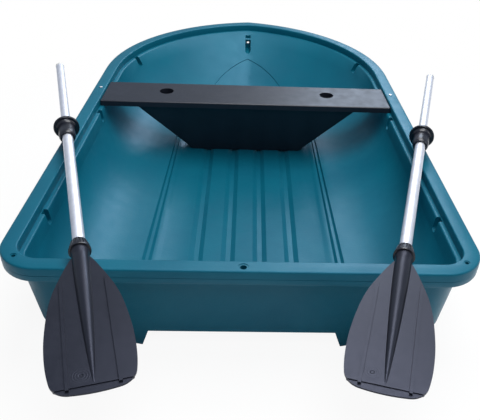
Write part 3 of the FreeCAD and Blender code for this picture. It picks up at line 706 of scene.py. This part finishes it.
# The overhead lamp gives broad daylight. The forward and sheen lamps stand for the bright sky ahead, whose
# gloss shows on the thwart, the floor and the walls. The front lamp lights the transom and the blades, and
# the side lamp lifts the port wall a little.
SOFTBOXES = (
    Softbox("overhead_softbox", (0.5, 0.1, 3.2), (0.0, 0.1, 0.1), 2.2, 95.0),
    Softbox("forward_softbox", (0.5, 1.9, 2.8), (0.0, 0.1, 0.1), 1.6, 34.0, height=2.6),
    Softbox("sheen_softbox", (1.5, 5.2, 2.85), (0.0, 0.1, 0.1), 1.7, 54.0, "#d6e8ff"),
    Softbox("front_softbox", (0.3, -2.6, 3.9), (0.0, 0.2, 0.1), 1.6, 60.0, "#f0f6ff"),
    Softbox("side_softbox", (2.8, -0.8, 1.5), (0.0, -0.3, 0.2), 1.2, 11.0),
)


@dataclass
class Studio:
    """Floor, backdrop, soft lamps and the camera.

    Attributes:
        focal_px: Focal length in pixels of the picture.
        frame_px: Width of the picture.
        sensor_mm: Width of the camera's sensor.
        clip_end: How far the camera sees.
        eye: The camera's place.
        pitch: How far it looks down.
        yaw: How far it looks to starboard.
        roll: How far it leans to starboard.
        centre_px: How far the picture's middle lies to port of the line of sight.
        floor_half: Half the floor's width.
        floor_colour: Its colour.
        floor_lift: Share of white in what the camera sees of it near the boat, beside its shadow.
        fade: Distances from the origin at which it starts to turn white and is white.
        sky: Strength of the plain light from all round.
        mirror: Strength of that light in a reflection.
        air_colour: Colour of that light.
    """

    focal_px: float = 660.0
    frame_px: float = 480.0
    sensor_mm: float = 36.0
    clip_end: float = 60.0
    eye: Point = (0.0007, -1.9343, 1.2543)
    pitch: float = 33.205
    yaw: float = 3.021
    roll: float = -2.786
    centre_px: float = 34.0
    floor_half: float = 12.0
    floor_colour: str = "#f4f4f3"
    floor_lift: float = 0.92
    fade: tuple[float, float] = (1.0, 1.7)
    sky: float = 0.03
    mirror: float = 0.46
    air_colour: str = "#dfecff"

    def make_camera(self) -> None:
        """Sets the camera at the photograph's place and angle."""
        data = bpy.data.cameras.new("camera")
        data.sensor_width = self.sensor_mm
        data.lens = self.sensor_mm * self.focal_px / self.frame_px
        data.shift_x = -self.centre_px / self.frame_px
        data.clip_end = self.clip_end
        camera = bpy.data.objects.new("camera", data)
        bpy.context.scene.collection.objects.link(camera)
        pitch, yaw, roll = (math.radians(angle) for angle in (self.pitch, self.yaw, self.roll))
        forward = Vector((math.sin(yaw) * math.cos(pitch), math.cos(yaw) * math.cos(pitch),
                          -math.sin(pitch)))
        right = Vector((math.cos(yaw), -math.sin(yaw), 0.0))
        down = forward.cross(right)
        turned_right = right * math.cos(roll) + down * math.sin(roll)
        turned_down = down * math.cos(roll) - right * math.sin(roll)
        axes = Matrix((turned_right, -turned_down, -forward)).transposed().to_4x4()
        camera.matrix_world = Matrix.Translation(Vector(self.eye)) @ axes
        bpy.context.scene.camera = camera

    def make_floor(self) -> None:
        """Lays a pale floor that keeps the boat's soft shadow and reads white further out."""
        deselect_all()
        bpy.ops.mesh.primitive_plane_add(size=2 * self.floor_half, location=(0.0, 0.0, 0.0))
        floor = bpy.context.object
        floor.name = "studio_floor"
        material, tree, output = new_material("pale_floor")
        matt = add_node(tree, "BsdfDiffuse", {"Color": linear(self.floor_colour)})
        white = add_node(tree, "Emission", {"Color": WHITE, "Strength": 1.0})
        place = add_node(tree, "TexCoord").outputs["Object"]
        away = add_node(tree, "VectorMath", {"operation": "LENGTH"}, {0: place})
        share = add_node(tree, "MapRange", span(self.floor_lift, 1.0, *self.fade),
                         {"Value": away.outputs["Value"]})
        rays = add_node(tree, "LightPath")
        seen = add_node(tree, "Math", {"operation": "MULTIPLY"},
                        {0: share.outputs["Result"], 1: rays.outputs["Is Camera Ray"]})
        shader = add_node(tree, "MixShader", {}, {0: seen.outputs["Value"], 1: matt.outputs["BSDF"],
                                                  2: white.outputs["Emission"]})
        tree.links.new(shader.outputs["Shader"], output.inputs["Surface"])
        dress(floor, material)

    def make_sky(self) -> None:
        """Adds plain cool light from all round, brighter in a reflection and white to the camera."""
        world = bpy.data.worlds.new("studio_air")
        bpy.context.scene.world = world
        world.use_nodes = True
        tree = world.node_tree
        tree.nodes.clear()
        rays = add_node(tree, "LightPath")
        mirrored = add_node(tree, "MapRange", {"To Min": self.sky, "To Max": self.mirror},
                            {"Value": rays.outputs["Is Glossy Ray"]})
        air = add_node(tree, "Background", {"Color": linear(self.air_colour)},
                       {"Strength": mirrored.outputs["Result"]})
        white = add_node(tree, "Background", {"Color": WHITE})
        light = add_node(tree, "MixShader", {},
                         {0: rays.outputs["Is Camera Ray"], 1: air.outputs["Background"],
                          2: white.outputs["Background"]})
        output = add_node(tree, "OutputWorld")
        tree.links.new(light.outputs["Shader"], output.inputs["Surface"])

    def build(self) -> None:
        """Makes the whole studio."""
        self.make_camera()
        self.make_floor()
        self.make_sky()
        for softbox in SOFTBOXES:
            softbox.hang()
        bpy.context.scene.view_settings.view_transform = "Standard"
        LOG.info("studio: camera, floor, air and %d lamps", len(SOFTBOXES))


@dataclass
class Hull:
    """The tub's moulding and the two screws in its rim that hold the thwart.

    Attributes:
        node: The hull's solid.
        screw_x: X of the starboard screw; the port one is its mirror image.
        screw_y: Y of both screws.
        rim_top: Height of the rim.
        head_r: Radius of a screw's head.
        head_height: Its height over the rim.
        head_facets: How many faces it has round its side.
        socket_r: Radius of the round socket in it.
        socket_depth: Depth of that socket.
        dome: Width of the rounding on the head and the socket.
        dome_segments: How many faces go round it.
        dome_turn: Turn between two faces above which their edge is rounded.
    """

    node: bpy.types.Object
    screw_x: float = 0.525
    screw_y: float = 0.309
    rim_top: float = 0.297
    head_r: float = 0.0055
    head_height: float = 0.0032
    head_facets: int = 32
    socket_r: float = 0.0016
    socket_depth: float = 0.0020
    dome: float = 0.0009
    dome_segments: int = 4
    dome_turn: float = 60.0

    def make_screw(self) -> bpy.types.Object:
        """Models one domed screw head with a round socket, at its place on the starboard side.

        Returns:
            The screw.
        """
        middle = (self.screw_x, self.screw_y, self.rim_top + self.head_height / 2)
        screw = add_cylinder(self.head_r, self.head_height, middle, self.head_facets)
        bpy.ops.object.mode_set(mode="EDIT")
        select_faces(screw, lambda face: is_end_face(face) and face.normal.z > 0)
        bpy.ops.mesh.inset(thickness=self.head_r - self.socket_r, depth=0.0)
        bpy.ops.mesh.extrude_region_move(TRANSFORM_OT_translate={"value": (0.0, 0.0, -self.socket_depth)})
        bpy.ops.object.mode_set(mode="OBJECT")
        round_edges(screw, self.dome, self.dome_segments, self.dome_turn)
        bpy.ops.object.shade_smooth_by_angle(angle=math.radians(SMALL_CREASE))
        return screw

    def build(self) -> None:
        """Dresses the moulding and adds the two screws."""
        piece = smooth_copy(self.node, "hull_moulding", "boat", even=False)
        dress(piece, HULL_FINISH.make())
        LOG.info("hull dressed")
        starboard = self.make_screw()
        port = own_copy(starboard.data, "screw")
        port.data.transform(Matrix.Translation((-2 * self.screw_x, 0.0, 0.0)))
        steel = SCREW_FINISH.make()
        for side, screw in ((Side.STARBOARD, starboard), (Side.PORT, port)):
            screw.name = "thwart_screw_" + side.word
            dress(screw, steel)
            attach(screw, "boat")
            LOG.info("%s made", screw.name)


@dataclass
class Thwart:
    """The black plank with its leg.

    Attributes:
        node: The thwart's solid.
        edge: Width of the rounding on its edges.
    """

    node: bpy.types.Object
    edge: float = 0.002

    def build(self) -> None:
        """Dresses the plank and leg."""
        piece = smooth_copy(self.node, "thwart_moulding", "boat", soften=self.edge)
        dress(piece, THWART_FINISH.make())
        LOG.info("thwart dressed")


@dataclass
class FlutedNut:
    """The ring nut that grips the blade's socket: a tapered ring with deep flutes and a plain band.

    Attributes:
        length: Length of the nut along the shaft.
        band: Length of the plain band at its wide end.
        band_r: Radius of the band.
        band_facets: How many faces the band has round its side.
        aft_r: Radius of the narrow end.
        bore_r: Radius of the bore.
        flutes: How many flutes there are.
        flute_depth: Depth of a flute.
        flute_edge: Width of the slope into a flute.
        edge: Width of the rounding on the edges.
        edge_segments: How many faces go round it.
        edge_turn: Turn between two faces above which their edge is rounded.
    """

    length: float = 0.033
    band: float = 0.006
    band_r: float = 0.026
    band_facets: int = 72
    aft_r: float = 0.0195
    bore_r: float = 0.0152
    flutes: int = 18
    flute_depth: float = 0.0028
    flute_edge: float = 0.0006
    edge: float = 0.0005
    edge_segments: int = 2
    edge_turn: float = 35.0

    def in_flute(self, face: bmesh.types.BMFace) -> bool:
        """Tests whether a face of the plain cone becomes the bottom of a flute.

        Args:
            face: The face.

        Returns:
            True for every second face round the side.
        """
        middle = face.calc_center_median()
        step = math.pi / self.flutes
        number = round(math.atan2(middle.y, middle.x) / step - 0.5)
        return abs(face.normal.z) < END_FACE_Z and number % 2 == 0

    def open_bore(self, piece: bpy.types.Object, wall: float) -> None:
        """Opens the bore from end face to end face.

        Args:
            piece: The plain piece, in edit mode.
            wall: How far the bore stays inside the edge of the end faces.
        """
        select_faces(piece, is_end_face)
        bpy.ops.mesh.inset(thickness=wall, depth=0.0, use_individual=True)
        bpy.ops.mesh.bridge_edge_loops()

    def make_body(self, height: float) -> bpy.types.Object:
        """Models the tapered body: every second side face sunk, and the bore opened.

        Args:
            height: Its height.

        Returns:
            The body, standing on Z with its narrow end down.
        """
        deselect_all()
        bpy.ops.mesh.primitive_cone_add(vertices=2 * self.flutes, radius1=self.aft_r,
                                        radius2=self.band_r, depth=height, end_fill_type="NGON",
                                        location=(0.0, 0.0, height / 2))
        bpy.ops.object.transform_apply(location=True, rotation=True, scale=True)
        body = bpy.context.object
        bpy.ops.object.mode_set(mode="EDIT")
        select_faces(body, self.in_flute)
        bpy.ops.mesh.inset(thickness=self.flute_edge, depth=-self.flute_depth, use_individual=True)
        self.open_bore(body, self.aft_r - self.bore_r - self.edge)
        bpy.ops.object.mode_set(mode="OBJECT")
        return body

    def make_band(self, foot: float) -> bpy.types.Object:
        """Models the plain band round the nut's wide end.

        Args:
            foot: Height at which it starts.

        Returns:
            The band.
        """
        band = add_cylinder(self.band_r, self.band, (0.0, 0.0, foot + self.band / 2), self.band_facets)
        bpy.ops.object.mode_set(mode="EDIT")
        self.open_bore(band, self.band_r - self.bore_r)
        bpy.ops.object.mode_set(mode="OBJECT")
        return band

    def build(self) -> bpy.types.Mesh:
        """Models the nut, standing on Z with its narrow end at the origin.

        Returns:
            Its mesh, to be copied for each oar.
        """
        height = self.length - self.band
        nut = self.make_body(height)
        self.make_band(height)
        nut.select_set(True)
        bpy.context.view_layer.objects.active = nut
        bpy.ops.object.join()
        round_edges(nut, self.edge, self.edge_segments, self.edge_turn)
        bpy.ops.object.shade_smooth_by_angle(angle=math.radians(SMALL_CREASE))
        mesh = nut.data
        bpy.data.objects.remove(nut)
        return mesh


@dataclass
class Oar:
    """One oar with its rowlock.

    Attributes:
        side: The side that it is on.
        nodes: The solids by name.
        plan_angle: Turn of the stowed shaft in plan from straight aft.
        fall: How far the stowed shaft falls towards its blade.
        pivot: Where the shaft's line crosses the starboard rowlock's axis.
        nut_start: Distance along the shaft from there to the ring nut.
    """

    side: Side
    nodes: dict[str, bpy.types.Object]
    plan_angle: float = 15.67
    fall: float = 1.725
    pivot: Point = (0.537513, -0.132240, 0.343)
    nut_start: float = 0.565

    def node(self, word: str) -> bpy.types.Object:
        """The solid of this side with a given word in its name."""
        return self.nodes[word + "_" + self.side.word]

    @property
    def heading(self) -> float:
        """Angle of the shaft in plan, turned from +X, in radians."""
        return math.radians(-90 - self.side.value * self.plan_angle)

    def place_nut(self, mesh: bpy.types.Mesh, nylon: bpy.types.Material) -> None:
        """Puts a copy of the fluted nut on the shaft's line.

        Args:
            mesh: The nut, standing on Z.
            nylon: Its finish.
        """
        fall = math.radians(self.fall)
        flat = Vector((math.cos(self.heading), math.sin(self.heading), 0.0))
        aft = flat * math.cos(fall) - Vector((0.0, 0.0, math.sin(fall)))
        pivot = Vector((self.side.value * self.pivot[0], self.pivot[1], self.pivot[2]))
        turn = aft.to_track_quat("Z", "Y").to_matrix().to_4x4()
        nut = own_copy(mesh, "ring_nut_fluted_" + self.side.word)
        nut.data.transform(Matrix.Translation(pivot + aft * self.nut_start) @ turn)
        dress(nut, nylon)
        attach(nut, "oar_" + self.side.word)
        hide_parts("oar_ring_nut_" + self.side.word)
        LOG.info("%s made", nut.name)

    def build(self, nylon: bpy.types.Material, cap: bpy.types.Material, nut: bpy.types.Mesh) -> None:
        """Dresses each solid of the oar and its rowlock.

        Args:
            nylon: Finish of the rowlock, collar and ring nut.
            cap: Finish of the end cap.
            nut: The ring nut, standing on Z.
        """
        word = self.side.word
        tube = AnodisedTube("anodised_aluminium_tube_" + word, self.heading).make()
        blade = replace(BLADE_FINISH, name=BLADE_FINISH.name + "_" + word, gate=GATES[self.side]).make()
        finishes = {
            "rowlock": ("rowlock_moulding_", nylon, "rowlock_plastic"),
            "oar_collar": ("collar_moulding_", nylon, "rowlock_plastic"),
            "oar_shaft": ("lower_tube_", tube, "tube_metal"),
            "oar_handle": ("upper_tube_", tube, "tube_metal"),
            "oar_end_cap": ("end_plug_", cap, "cap_plastic"),
            "oar_blade": ("blade_moulding_", blade, "blade_plastic"),
        }
        for solid, (name, finish, slot) in finishes.items():
            body = "rowlock_" + word if solid == "rowlock" else "oar_" + word
            dress(smooth_copy(self.node(solid), name + word, body), finish)
            LOG.info("%s dressed", name + word)
        self.place_nut(nut, nylon)


def main() -> None:
    """Loads the solids, dresses them, adds the small pieces and sets the studio."""
    logging.basicConfig(level=logging.INFO, format="%(message)s")
    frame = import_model()
    nodes = frame["nodes"]
    Studio().build()
    Hull(nodes["hull"]).build()
    Thwart(nodes["thwart"]).build()
    nylon = NYLON_FINISH.make()
    cap = CAP_FINISH.make()
    nut = FlutedNut().build()
    for side in Side:
        Oar(side, nodes).build(nylon, cap, nut)


if __name__ == "__main__":
    main()
